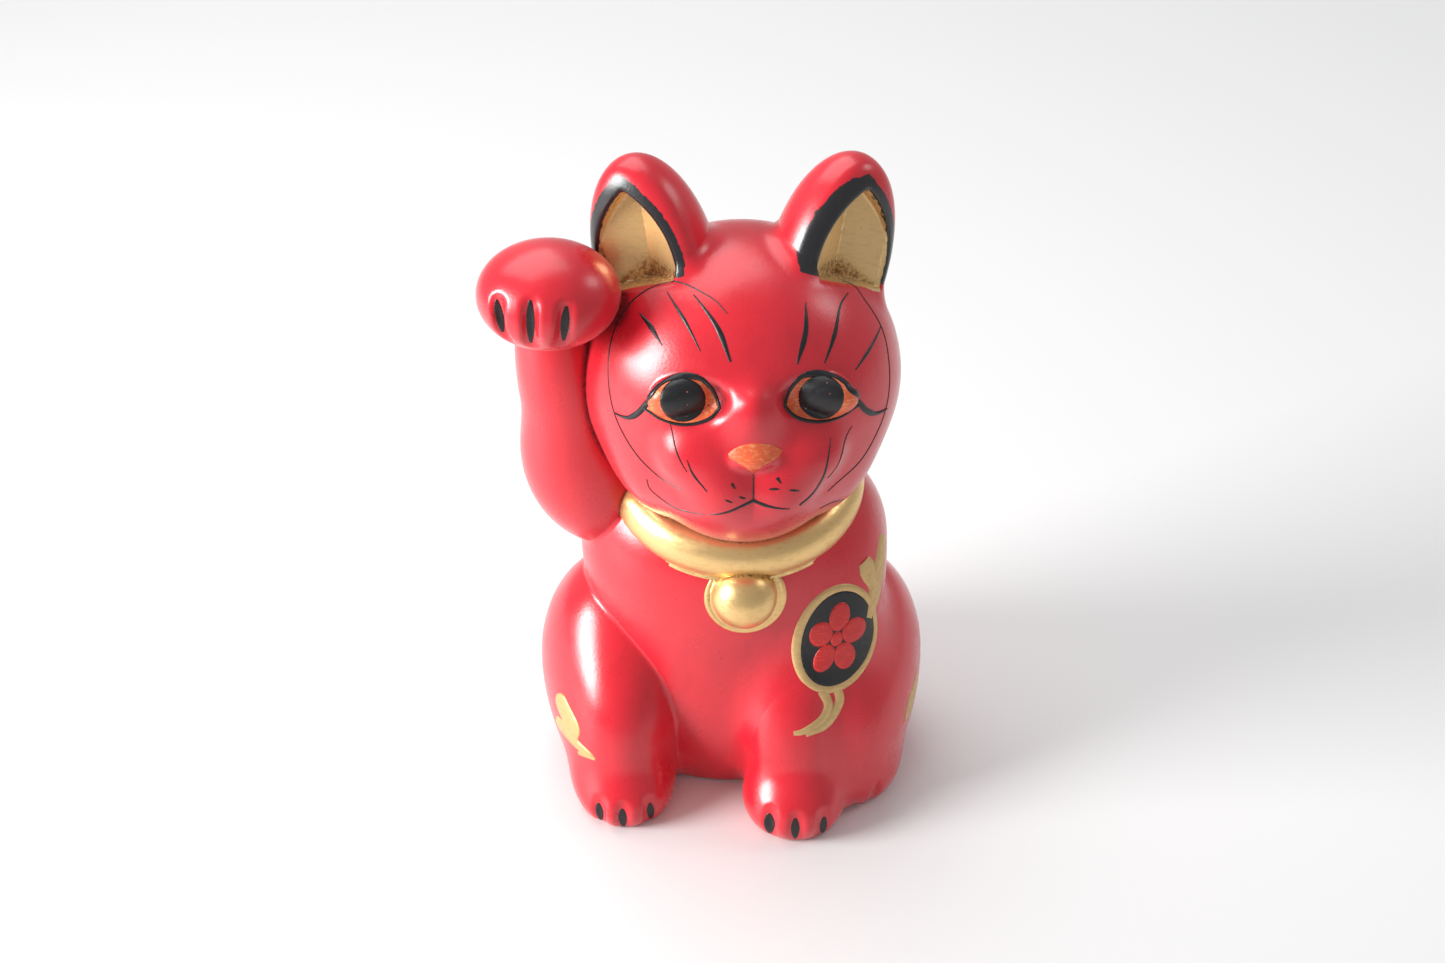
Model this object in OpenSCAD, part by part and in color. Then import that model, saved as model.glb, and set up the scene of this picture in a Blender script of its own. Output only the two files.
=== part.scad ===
// Beckoning cat money bank: a seated cat with its right forepaw raised beside its head.
// Hollow glazed castings and small luted pieces, with a rubber stopper in the base.
// Millimetres. +Z is up and the cat faces -Y, so its raised right foreleg is at -X.
// z = 0 is the floor, and the origin is under the middle of the figure's overall box.

/* [Body] */
// Width of the trunk at its widest
trunk_w = 75; // [72:1:78]
// Depth of the trunk from chest to back
trunk_d = 66.5; // [64:0.5:69]
// Height of the middle of the shoulders
shoulder_z = 66; // [65:0.5:67]
// Width across both haunches
haunch_span = 99; // [97:1:101]
// Height of the haunches
haunch_h = 56; // [54:1:58]
// Thickness of the cast walls
wall = 5; // [4:0.5:5.5]
// Height of the horizontal joint between body and head
neck_z = 84; // [83:0.5:85]

/* [Head] */
// Width of the head
head_w = 77.5; // [75:0.5:80]
// Depth of the head from face to nape
head_d = 70; // [68:0.5:72]
// Height of the head without its ears
head_h = 73.5; // [72:0.5:75]
// Height of the middle of the head
head_z = 116.5; // [116:0.5:117.5]
// Length of each ear, with the root that the head takes in
ear_h = 56.5; // [54:0.5:58]
// Width of each ear
ear_w = 30; // [29:0.5:31]
// Lean of each ear away from the middle, in degrees
ear_lean = 14; // [12:0.5:15]

/* [Legs and tail] */
// Length of the raised forearm
forearm_l = 66; // [64:0.5:68]
// Width of the raised paw
raised_paw_w = 34; // [32:0.5:35]
// Length of the standing lower leg
shin_l = 49; // [47:0.5:50]
// Width of the forepaw on the floor
forepaw_w = 26.5; // [25:0.5:28]
// Width of each hind paw
hind_paw_w = 25.5; // [24:0.5:27]
// Length of the tail that lies round the back
tail_l = 34; // [30:1:36]

/* [Collar and bell] */
// Radius of the collar at the middle of its roll
collar_r = 28.5; // [28:0.5:29]
// Height of the collar's roll
collar_h = 12; // [11:0.5:13]
// Thickness of the collar's roll
collar_t = 7; // [6:0.5:7.5]
// Drop of the collar towards the front, in degrees
collar_tilt = 12; // [10:1:13]
// Radius of the bell's back plate
bell_plate_r = 10.2; // [9.5:0.1:10.5]
// Radius of the bell's dome
bell_dome_r = 7.7; // [7:0.1:8]

/* [Coin slot and stopper] */
// Length of the coin slot
slot_l = 32; // [30:1:34]
// Height of the coin slot
slot_h = 5; // [4.5:0.5:6]
// Radius of the stopper's hole in the base
hole_r = 12; // [11:0.5:13]
// Depth of the round recess around the stopper's hole
recess_depth = 3; // [2.5:0.5:3.5]
// Radial clearance of the stopper's plug in its hole
plug_clear = 0.05; // [0.02:0.01:0.1]

/* [Hidden] */
$fn = 48;

glaze_red = "crimson";
glaze_gold = "goldenrod";
rubber_white = "gainsboro";

slip_gap = 0.1;        // slip line between luted pieces
loose_gap = 0.4;       // wider slip line where two curved pieces lie side by side
far = 200;             // longer than the figure, for cutting
middle = [6.8, 1.5];   // the cat's own midplane and seat centre, from the origin

trunk_at = [0, 4.5, 30];
trunk_r = [trunk_w / 2, trunk_d / 2, 51.5];
chest_at = [0, -0.5, shoulder_z];
chest_r = [38, 28.5, 28];

haunch_at = [haunch_span / 2 - 21, -0.5, haunch_h - 29.5];
haunch_r = [21, 24, 29.5];
knee_at = [29.5, -18.5, 17];
knee_r = [13.5, 17, 21];

head_at = [0, -4.5, head_z];
head_r = [head_w, head_d, head_h] / 2;
cheek_at = head_at + [14.5, -11.5, -15.5];
cheek_r = [14.5, 15, 15.5];
muzzle_at = head_at + [0, -26.5, -15.5];
muzzle_r = [17, 12, 12];
chin_at = head_at + [0, -21.5, -24];
chin_r = [14, 10, 8];

ear_at = [20.5, -2.5, head_z + 28];
ear_r = [ear_w / 2, 14.5, ear_h / 2];
ear_turn = [-15, ear_lean, 0];
ear_face_turn = [84, 0, 31];   // turns +Z to the outward normal of the ear's open face
ear_face_out = 7;              // distance of that face from the ear's middle
ear_hollow_at = [1.5, 5];      // middle of the hollow on that face
ear_hollow_r = [10, 16, 6];

elbow_at = [-36.5, -1.5, 84];
elbow_r = [14, 13, 20.5];
elbow_turn = [0, -28, 0];
forearm_at = [-42.5, -2.5, 111.5];
forearm_r = [11, 12, forearm_l / 2];
forearm_turn = [0, -7, 0];
raised_paw_at = [-46, -13.5, 144.5];
raised_paw_r = [raised_paw_w / 2, 15.5, 12.5];

upper_leg_at = [20.5, -14, 51.5];
upper_leg_r = [16, 13, 27];
upper_leg_turn = [-21, 0, 0];
shin_at = [14.5, -28, 22.5];
shin_r = [12.5, 12, shin_l / 2];
shin_turn = [-15, -3.5, 0];
forepaw_at = [14.5, -34.5, 6.5];
forepaw_r = [forepaw_w / 2, 13.5, 10.5];

right_hind_paw_at = [-28.5, -27, 5];
left_hind_paw_at = [29.5, -20.5, 5.5];
hind_paw_r = [hind_paw_w / 2, 14.5, 10];
paw_back = 9;          // the casting hides a hind paw behind this distance from its middle

tail_at = [4, 37, 12];
tail_r = [tail_l / 2, 8, 9];
tail_turn = [0, -12, 0];

collar_at = [0, -1, 82];
bell_at = [0, -28.5, 66];
bell_turn = [80, 0, 0];        // turns +Z to face forwards and slightly up
bell_plate_t = 5;              // from inside the chest to the plate's front

slot_z = head_z + 12;
floor_top = recess_depth + wall;
recess_r = hole_r + 3;
plug_r = hole_r - plug_clear;
flange_t = 2;
flange_gap = 0.2;

// Places one of the figure's pieces, drawn about the cat's midplane, in the part's frame.
module placed() {
    translate([middle.x, middle.y, 0])
        children();
}

// A closed egg-shaped form, made larger all round by grow.
module form(at, radii, turn = [0, 0, 0], grow = 0) {
    translate(at)
        rotate(turn)
            scale(radii + [grow, grow, grow])
                sphere(r = 1);
}

// The children and their mirror image across the cat's midplane.
module both_sides() {
    children();
    mirror([1, 0, 0])
        children();
}

// Everything above a height.
module above(z) {
    translate([-far / 2, -far / 2, z])
        cube([far, far, far]);
}

// Everything below a height.
module below(z) {
    translate([-far / 2, -far / 2, z - far])
        cube([far, far, far]);
}

module trunk_form(grow = 0) {
    form(trunk_at, trunk_r, grow = grow);
    form(chest_at, chest_r, grow = grow);
}

module haunch_form(grow = 0) {
    form(haunch_at, haunch_r, grow = grow);
    form(knee_at, knee_r, grow = grow);
}

module body_form(grow = 0) {
    trunk_form(grow);
    both_sides()
        haunch_form(grow);
}

module head_form(grow = 0) {
    form(head_at, head_r, grow = grow);
    both_sides()
        form(cheek_at, cheek_r, grow = grow);
    form(muzzle_at, muzzle_r, grow = grow);
    form(chin_at, chin_r, grow = grow);
}

// The collar's roll, a ring with a rounded section, wider by grow all round.
module collar_form(grow = 0) {
    roll_r = collar_t / 2;
    rise = collar_h / 2 - roll_r;
    translate(collar_at)
        rotate([collar_tilt, 0, 0])
            rotate_extrude($fn = 96)
                translate([collar_r, 0]) {
                    translate([0, rise])
                        circle(r = roll_r + grow);
                    translate([0, -rise])
                        circle(r = roll_r + grow);
                    translate([-roll_r - grow, -rise])
                        square([collar_t + 2 * grow, 2 * rise]);
                }
}

// The space inside the collar's outer face, which the legs stay out of.
module neck_form() {
    translate(collar_at)
        rotate([collar_tilt, 0, 0])
            cylinder(r = collar_r + collar_t / 2 + slip_gap, h = 2 * collar_h, center = true);
}

module body_casting() {
    color(glaze_red)
        placed()
            difference() {
                body_form();
                below(0);
                above(neck_z - slip_gap / 2);
                difference() {
                    trunk_form(-wall);
                    below(floor_top);
                }
                translate([0, 0, -1])
                    cylinder(r = recess_r, h = recess_depth + 1);
                cylinder(r = hole_r, h = floor_top + 1);
                collar_form(slip_gap);
            }
}

module head_casting() {
    color(glaze_red)
        placed()
            difference() {
                head_form();
                below(neck_z + slip_gap / 2);
                form(head_at, head_r, grow = -wall);
                translate([0, head_at.y, neck_z - 1])
                    cylinder(r = hole_r, h = wall * 3);
                translate([-slot_l / 2, head_at.y, slot_z - slot_h / 2])
                    cube([slot_l, far, slot_h]);
                collar_form(slip_gap);
            }
}

// An ear with its front cut flat, made larger all round by grow.
module ear_form(grow = 0) {
    difference() {
        form(ear_at, ear_r, ear_turn, grow);
        translate(ear_at)
            rotate(ear_face_turn)
                translate([-far / 2, -far / 2, ear_face_out + grow])
                    cube([far, far, far]);
    }
}

// The left ear, luted to the head, with a hollow face turned forwards and outwards.
module ear() {
    color(glaze_red)
        difference() {
            ear_form();
            form(head_at, head_r, grow = slip_gap);
            translate(ear_at)
                rotate(ear_face_turn)
                    translate([ear_hollow_at.x, ear_hollow_at.y, ear_face_out])
                        scale(ear_hollow_r)
                            sphere(r = 1);
        }
}

module left_ear() {
    placed()
        ear();
}

module right_ear() {
    placed()
        mirror([1, 0, 0])
            ear();
}

module raised_foreleg() {
    color(glaze_red)
        placed()
            difference() {
                union() {
                    form(elbow_at, elbow_r, elbow_turn);
                    form(forearm_at, forearm_r, forearm_turn);
                    form(raised_paw_at, raised_paw_r);
                }
                body_form(loose_gap);
                head_form(loose_gap);
                mirror([1, 0, 0])
                    ear_form(loose_gap);
                neck_form();
            }
}

// The standing left foreleg, from the shoulder to the paw on the floor.
module standing_form(grow = 0) {
    form(upper_leg_at, upper_leg_r, upper_leg_turn, grow);
    form(shin_at, shin_r, shin_turn, grow);
    form(forepaw_at, forepaw_r, grow = grow);
}

module standing_foreleg() {
    color(glaze_red)
        placed()
            difference() {
                standing_form();
                below(0);
                body_form(slip_gap);
                neck_form();
            }
}

// A hind paw that comes out from under the knee on its own side.
module hind_paw(at) {
    color(glaze_red)
        placed()
            difference() {
                form(at, hind_paw_r);
                below(0);
                translate([-far / 2, at.y + paw_back, -1])
                    cube([far, far, far]);
                body_form(slip_gap);
            }
}

module right_hind_paw() {
    hind_paw(right_hind_paw_at);
}

module left_hind_paw() {
    color(glaze_red)
        difference() {
            hind_paw(left_hind_paw_at);
            placed()
                standing_form(loose_gap);
        }
}

module tail() {
    color(glaze_red)
        placed()
            difference() {
                form(tail_at, tail_r, tail_turn);
                below(0);
                body_form(slip_gap);
            }
}

module collar() {
    color(glaze_gold)
        placed()
            collar_form();
}

module bell() {
    color(glaze_gold)
        placed()
            difference() {
                translate(bell_at)
                    rotate(bell_turn) {
                        cylinder(r = bell_plate_r, h = bell_plate_t, center = true);
                        translate([0, 0, bell_plate_t / 2])
                            sphere(r = bell_dome_r);
                    }
                body_form(slip_gap);
                collar_form(slip_gap);
            }
}

// A rubber plug with a flange that sits in the base's recess, clear of the floor.
module stopper() {
    color(rubber_white)
        placed()
            union() {
                translate([0, 0, recess_depth - flange_gap - flange_t])
                    cylinder(r = recess_r - 1, h = flange_t);
                translate([0, 0, recess_depth - flange_gap - flange_t])
                    cylinder(r = plug_r, h = wall + flange_t);
                translate([0, 0, floor_top - flange_gap])
                    cylinder(r1 = plug_r, r2 = plug_r - 1.5, h = 2);
            }
}

body_casting();
head_casting();
right_ear();
left_ear();
raised_foreleg();
standing_foreleg();
right_hind_paw();
left_hind_paw();
tail();
collar();
bell();
stopper();
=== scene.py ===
"""Looks of the beckoning cat money bank.

Glazed castings, a hand-painted face, a gold collar and bell, and a rubber stopper.

Forms are given in millimetres about the cat's own midplane, facing -Y, with the floor at z = 0.
They are smooth blends of egg-shaped solids, meshed here and moved into the frame by to_frame().
"""
import math

import bpy
import numpy as np
import openvdb
from mathutils import Matrix, Vector, geometry


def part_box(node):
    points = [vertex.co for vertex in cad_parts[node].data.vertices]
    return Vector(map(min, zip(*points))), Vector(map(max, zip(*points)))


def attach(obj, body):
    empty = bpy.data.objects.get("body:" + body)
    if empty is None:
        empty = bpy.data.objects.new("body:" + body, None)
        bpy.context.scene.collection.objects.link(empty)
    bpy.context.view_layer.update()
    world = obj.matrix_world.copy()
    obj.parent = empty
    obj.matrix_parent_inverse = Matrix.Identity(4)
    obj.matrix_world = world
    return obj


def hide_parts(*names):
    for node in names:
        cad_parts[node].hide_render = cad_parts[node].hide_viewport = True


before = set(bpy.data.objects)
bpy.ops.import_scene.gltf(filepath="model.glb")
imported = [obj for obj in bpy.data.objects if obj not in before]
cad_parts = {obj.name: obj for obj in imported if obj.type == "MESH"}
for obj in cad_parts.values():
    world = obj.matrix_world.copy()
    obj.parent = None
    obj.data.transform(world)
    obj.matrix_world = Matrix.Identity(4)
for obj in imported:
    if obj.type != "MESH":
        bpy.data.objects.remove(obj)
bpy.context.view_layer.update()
bpy.context.scene.view_settings.view_transform = "Standard"

MM = 0.001
stopper_low, stopper_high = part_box("stopper")
SEAT = np.array([(stopper_low.x + stopper_high.x) / 2, (stopper_low.y + stopper_high.y) / 2, 0.0])
CAT = "cat"
STOPPER = "stopper"


def to_frame(points):
    """Points in millimetres about the cat's midplane, as metres in the frame."""
    return np.asarray(points, float) * MM + SEAT


# --------------------------------------------------------------------------------------------------
# Camera, light and floor
# --------------------------------------------------------------------------------------------------

CAMERA_AZIMUTH = -4.0
CAMERA_ELEVATION = 35.8
CAMERA_ROLL = 1.5
CAMERA_DISTANCE = 707.0
CAMERA_TARGET = (-3.7, -4.0, 82.9)
CAMERA_LENS = 70.8


def directions(azimuth, elevation):
    """Unit vectors back, right and up of a viewer at that azimuth and elevation, in degrees."""
    a, e = math.radians(azimuth), math.radians(elevation)
    back = Vector((math.sin(a) * math.cos(e), -math.cos(a) * math.cos(e), math.sin(e)))
    right = Vector((0, 0, 1)).cross(back).normalized()
    return back, right, back.cross(right)


def make_camera():
    data = bpy.data.cameras.new("camera")
    data.lens = CAMERA_LENS
    data.sensor_width = 36.0
    data.clip_start, data.clip_end = 0.01, 20.0
    camera = bpy.data.objects.new("camera", data)
    back, right, up = directions(CAMERA_AZIMUTH, CAMERA_ELEVATION)
    roll = math.radians(CAMERA_ROLL)
    turned_right = right * math.cos(roll) + up * math.sin(roll)
    turned_up = up * math.cos(roll) - right * math.sin(roll)
    turn = Matrix((turned_right, turned_up, back)).transposed()
    place = Vector(to_frame(CAMERA_TARGET)) + back * CAMERA_DISTANCE * MM
    camera.matrix_world = Matrix.Translation(place) @ turn.to_4x4()
    bpy.context.scene.collection.objects.link(camera)
    bpy.context.scene.camera = camera


def soft_light(name, azimuth, elevation, distance, size, power, spread=180, colour=(1, 1, 1)):
    """A square area light in the direction given, turned towards the figure."""
    data = bpy.data.lights.new(name, "AREA")
    data.shape = "SQUARE"
    data.size = size
    data.energy = power
    data.spread = math.radians(spread)
    data.color = colour
    light = bpy.data.objects.new(name, data)
    back = directions(azimuth, elevation)[0]
    light.location = Vector((0, 0, 0.08)) + back * distance
    light.rotation_mode = "QUATERNION"
    light.rotation_quaternion = back.to_track_quat("Z", "Y")
    bpy.context.scene.collection.objects.link(light)


def make_stage():
    """A pale seamless floor, a nearly white room and soft lights from the upper left and from behind."""
    world = bpy.data.worlds.new("room")
    world.use_nodes = True
    world.node_tree.nodes["Background"].inputs["Color"].default_value = (0.93, 0.95, 0.97, 1)
    world.node_tree.nodes["Background"].inputs["Strength"].default_value = 0.42
    bpy.context.scene.world = world
    soft_light("window", -150, 62, 1.0, 0.9, 6.0)
    soft_light("key", -75, 18, 0.8, 0.36, 3.1, 100)
    soft_light("fill", 100, 40, 1.1, 0.3, 1.2)
    floor_mesh = bpy.data.meshes.new("floor")
    half = 4.0
    floor_mesh.from_pydata([(-half, -half, 0), (half, -half, 0), (half, half, 0), (-half, half, 0)],
                           [], [(0, 1, 2, 3)])
    floor = bpy.data.objects.new("floor", floor_mesh)
    bpy.context.scene.collection.objects.link(floor)
    paint = bpy.data.materials.new("pale_floor")
    paint.use_nodes = True
    shader = paint.node_tree.nodes["Principled BSDF"]
    shader.inputs["Base Color"].default_value = (0.84, 0.835, 0.83, 1)
    shader.inputs["Roughness"].default_value = 0.55
    floor_mesh.materials.append(paint)


# --------------------------------------------------------------------------------------------------
# Signed distance fields, negative inside. Points are rows of a float array, in millimetres.
# --------------------------------------------------------------------------------------------------


def join(a, b, blend):
    """The union of two fields with a fillet of about that size."""
    h = np.clip(0.5 + 0.5 * (b - a) / blend, 0, 1)
    return b + (a - b) * h - blend * h * (1 - h)


def cut(a, b, blend):
    """Field a without field b, with a rounded edge."""
    return -join(-a, b, blend)


def common(a, b, blend):
    """What fields a and b share, with a rounded edge."""
    return -join(-a, -b, blend)


def turned(x, y, z):
    """Rotation matrix that turns about X, then Y, then Z, in degrees."""
    rx, ry, rz = (Matrix.Rotation(math.radians(t), 3, n) for t, n in ((x, "X"), (y, "Y"), (z, "Z")))
    return np.array(rz @ ry @ rx)


def egg(p, at, radii, turn=(0, 0, 0)):
    """An ellipsoid at a point, turned about X, Y and Z."""
    q = p - np.array(at, float)
    if any(turn):
        q = q @ turned(*turn)
    radii = np.array(radii, float)
    inner = np.linalg.norm(q / radii, axis=-1)
    outer = np.linalg.norm(q / radii ** 2, axis=-1)
    return inner * (inner - 1) / np.maximum(outer, 1e-9)


def rod(p, a, b, radius):
    """A straight round rod between two points."""
    a, b = np.array(a, float), np.array(b, float)
    along = np.clip((p - a) @ (b - a) / ((b - a) @ (b - a)), 0, 1)
    return np.linalg.norm(p - a - along[:, None] * (b - a), axis=-1) - radius


def block(p, low, high):
    """A straight block between two corners."""
    low, high = np.array(low, float), np.array(high, float)
    q = np.abs(p - (low + high) / 2) - (high - low) / 2
    return np.linalg.norm(np.maximum(q, 0), axis=-1) + np.minimum(q.max(axis=-1), 0)


def both(p):
    """The points folded onto the cat's left side, so that a form there stands for two."""
    q = p.copy()
    q[:, 0] = np.abs(q[:, 0])
    return q


# --------------------------------------------------------------------------------------------------
# The cat's forms
# --------------------------------------------------------------------------------------------------

WALL = 5.0
FACE_X = 0.9                      # the painted face and the bell sit a little left of the midplane
COLLAR_AT = np.array([0.0, -1.0, 82.0])
COLLAR_TILT = 12.0
COLLAR_R = 28.5
HEAD_AT, HEAD_R = (0, -4.5, 116.5), (38.7, 35, 36.8)
CHEEK_AT, CHEEK_R = (14.7, -16, 101), (14.4, 15.2, 15.4)
MUZZLE_AT, MUZZLE_R = (0, -30.5, 101), (17.2, 12, 11.8)
CHIN_AT, CHIN_R = (0, -25.8, 92.5), (13.8, 9.8, 8)
EAR_AT, EAR_R, EAR_TURN = (20.5, -2.5, 144.5), (15, 14.5, 28.2), (-15, 14, 0)
EAR_FACE = (31.0, 6.0)            # azimuth and elevation of the open face's outward normal
EAR_FACE_OUT = 7.0
TRUNK_AT, TRUNK_R = (0, 4.5, 30), (37.5, 33.3, 51.5)
CHEST_AT, CHEST_R = (0, -0.5, 66), (38, 28.5, 28)
HAUNCH_AT, HAUNCH_R = (28.5, -0.5, 26.5), (21, 24, 29.6)
KNEE_AT, KNEE_R = (29.4, -18.3, 17), (13.6, 17.2, 21)
UPPER_LEG_AT, UPPER_LEG_R, UPPER_LEG_TURN = (20.6, -14, 51.5), (16.1, 13, 26.8), (-20.7, 0, 0)
SHIN_AT, SHIN_R, SHIN_TURN = (14.5, -27.8, 22.4), (12.6, 12, 24.4), (-15.2, -3.5, 0)
FOREPAW_AT, FOREPAW_R = (14.6, -34.7, 6.3), (13.2, 13.7, 10.5)
RIGHT_HIND_AT, LEFT_HIND_AT, HIND_R = (-28.6, -27, 4.9), (29.6, -20.4, 5.6), (12.8, 14.4, 9.8)
ELBOW_AT, ELBOW_R, ELBOW_TURN = (-36.6, -1.5, 83.7), (14.2, 13, 20.6), (0, -28, 0)
FOREARM_AT, FOREARM_R, FOREARM_TURN = (-42.6, -2.3, 111.6), (11.2, 12, 33.1), (0, -7.3, 0)
PAW_AT, PAW_R = (-46.1, -13.6, 144.4), (16.9, 15.3, 12.3)
TAIL_PARTS = (((1, 36, 10), (9, 9, 10)), ((10, 38, 12), (10, 8, 8.5)), ((17, 34, 17), (7.5, 7, 8)))
# Forms of the face, about its own middle at FACE_X, each for both sides.
LIP = (6.5, -36, 106), (8, 7.5, 8)
UNDER_EYE = (11.5, -34.6, 113), (9.5, 6.4, 7)
BRIDGE = (0, -34.9, 120), (5.6, 5, 12), (20, 0, 0)
NOSE = (0, -40.2, 116.0), (5.4, 3.4, 2.7)
SOCKET = (16, -38.6, 129.2), (9.6, 5.4, 6.2), (20, 0, -20)
EYEBALL = (15.8, -31, 127.4), (9, 4.6, 6), (20, 0, -20)
LIP_CLEFT = (0, -45.2, 113), (0, -45.6, 105), 1.2
COIN_SLOT = (-16, 0, 126), (16, 60, 131)
HOLE_R, HOLE_TOP = 12, 20         # the stopper's hole through the base
RECESS_R, RECESS_TOP = 15, 3      # the wider recess around it


def above_joint(p):
    """Height above the plane of the neck joint, which the collar hides."""
    tilt = math.radians(COLLAR_TILT)
    normal = np.array([0, -math.sin(tilt), math.cos(tilt)])
    return (p - COLLAR_AT) @ normal


def trunk(p):
    return join(egg(p, TRUNK_AT, TRUNK_R), egg(p, CHEST_AT, CHEST_R), 16)


def haunches(p):
    q = both(p)
    return join(egg(q, HAUNCH_AT, HAUNCH_R), egg(q, KNEE_AT, KNEE_R), 12)


def paw_with_toes(p, at, radii, grooves, depth=1.6):
    """An egg-shaped paw with a groove between each two toes, each from one point to another."""
    d = egg(p, at, radii)
    for a, b in grooves:
        d = cut(d, rod(p, a, b, depth), 1.8)
    return d


FOREPAW_GROOVES = (((7.2, -46.6, 10), (7.6, -46.4, 1)), ((14.2, -48.8, 10), (14.4, -48.6, 1)),
                   ((21.6, -47, 9), (21.4, -46.8, 1)))
RIGHT_HIND_GROOVES = (((-35.8, -39.3, 8), (-35.2, -39, 0)), ((-29.5, -41.8, 8), (-29.3, -41.8, 0)),
                      ((-22.2, -39.8, 8), (-22.2, -39.6, 0)))
LEFT_HIND_GROOVES = (((29.8, -35.2, 8), (30.2, -34.2, 0)), ((35.8, -33.4, 8), (35.4, -33.4, 0)))
RAISED_GROOVES = (((-57.8, -23.6, 148), (-56.3, -23.6, 139)), ((-50.3, -27.6, 150), (-50.3, -27.6, 139)),
                  ((-42, -28, 149), (-43, -28.4, 139.5)))


def standing_leg(p):
    d = join(egg(p, UPPER_LEG_AT, UPPER_LEG_R, UPPER_LEG_TURN), egg(p, SHIN_AT, SHIN_R, SHIN_TURN), 8)
    return join(d, paw_with_toes(p, FOREPAW_AT, FOREPAW_R, FOREPAW_GROOVES), 5)


def right_hind_paw(p):
    return paw_with_toes(p, RIGHT_HIND_AT, HIND_R, RIGHT_HIND_GROOVES)


def left_hind_paw(p):
    return paw_with_toes(p, LEFT_HIND_AT, HIND_R, LEFT_HIND_GROOVES)


def raised_leg(p):
    d = join(egg(p, ELBOW_AT, ELBOW_R, ELBOW_TURN), egg(p, FOREARM_AT, FOREARM_R, FOREARM_TURN), 10)
    return join(d, paw_with_toes(p, PAW_AT, PAW_R, RAISED_GROOVES), 3)


def tail(p):
    d = egg(p, *TAIL_PARTS[0])
    for part in TAIL_PARTS[1:]:
        d = join(d, egg(p, *part), 5)
    return d


def face(p):
    """The head without ears: skull, cheeks, muzzle, chin, nose, eye sockets and mouth."""
    q = both(p)
    f = both(p - np.array([FACE_X, 0, 0]))
    d = join(egg(p, HEAD_AT, HEAD_R), egg(q, CHEEK_AT, CHEEK_R), 8)
    d = join(d, egg(p, MUZZLE_AT, MUZZLE_R), 8)
    d = join(d, egg(p, CHIN_AT, CHIN_R), 6)
    for part, fillet in ((LIP, 4), (UNDER_EYE, 5), (BRIDGE, 6), (NOSE, 2)):
        d = join(d, egg(f, *part), fillet)
    d = cut(d, egg(f, *SOCKET), 3)
    d = join(d, egg(f, *EYEBALL), 1)
    return cut(d, rod(f, *LIP_CLEFT), 1.6)


def ear_face_frame():
    """Middle of the left ear's open face, and the unit vectors out of it, sideways and up it."""
    out, side, up = (np.array(v) for v in directions(*EAR_FACE))
    return np.array(EAR_AT) + out * EAR_FACE_OUT, out, side, up


def ears(p):
    """Both ears: an egg with its front cut flat and a folded hollow in that face."""
    q = both(p)
    middle, out = ear_face_frame()[:2]
    d = common(egg(q, EAR_AT, EAR_R, EAR_TURN), (q - middle) @ out, 3.6)
    return cut(d, ear_pit(q), 1.2)


def ear_pit(q):
    """The folded hollow in the left ear's open face, with a floor level with the crown."""
    middle, out, side, up = ear_face_frame()
    u, v, w = (q - middle) @ side, (q - middle) @ up, (q - middle) @ out
    fold = 0.25 * v + 1.0
    depth = np.clip(6.4 - 0.55 * np.abs(u - fold), 1.2, None)
    return np.maximum(common(ear_mouth(q), -w - depth, 1.2), ear_floor(u) - v)


def ear_floor(u):
    """Height up the ear's open face at which the crown meets it."""
    return -1.5 - 0.46 * u


def ear_mouth(q):
    """Distance outside the pointed outline of an ear's hollow, seen along the open face's normal."""
    middle, _, side, up = ear_face_frame()
    u, v = (q - middle) @ side, (q - middle) @ up
    return common(np.hypot(u + 12.1, v - 4.8) - 24.4, np.hypot(u - 14, v + 1.7) - 23.0, 1.0)


def within_wall(p, at, radii):
    """The hollow that an egg-shaped form leaves inside its wall."""
    return egg(p, at, tuple(r - WALL for r in radii))


def cavity(p):
    """The hollow inside both castings, with the neck passage that joins them."""
    d = join(within_wall(p, HEAD_AT, HEAD_R), rod(p, (0, -4.5, 70), (0, -4.5, 100), 12), 2)
    d = np.minimum(d, join(within_wall(p, TRUNK_AT, TRUNK_R), within_wall(p, CHEST_AT, CHEST_R), 16))
    return common(d, 8.0 - p[:, 2], 1)


UNDER = 0.12                      # a casting's own skin lies this far under the pieces luted onto it


def crown(p):
    """The head with the roots of the ears grown out of it, open where their hollows are."""
    return cut(join(face(p), ears(p) + UNDER, 4), ear_pit(both(p)) - UNDER, 1.0)


def seat(p):
    """Trunk and haunches with the roots of the legs and the tail grown out of them."""
    d = join(join(trunk(p), haunches(p), 0.8), standing_leg(p) + UNDER, 7)
    for part, fillet in ((right_hind_paw, 7.0), (left_hind_paw, 6.0), (tail, 4.0), (raised_leg, 1.5)):
        d = join(d, part(p) + UNDER, fillet)
    return d


def head_casting(p):
    """The hollow head with its coin slot, down to the neck joint."""
    d = join(crown(p), trunk(p), 4)
    d = cut(d, cavity(p), 0.5)
    d = cut(d, block(p, *COIN_SLOT), 1.2)
    return common(d, -above_joint(p), 0.3)


def body_casting(p):
    """The hollow body up to the neck joint, with the recess and the stopper's hole in its base."""
    d = common(seat(p), -p[:, 2], 1.2)
    d = cut(d, cavity(p), 0.5)
    axis = np.hypot(p[:, 0], p[:, 1])
    d = cut(d, np.maximum(axis - RECESS_R, p[:, 2] - RECESS_TOP), 0.8)
    d = cut(d, np.maximum(axis - HOLE_R, p[:, 2] - HOLE_TOP), 0.4)
    return common(d, above_joint(p), 0.3)


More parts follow.
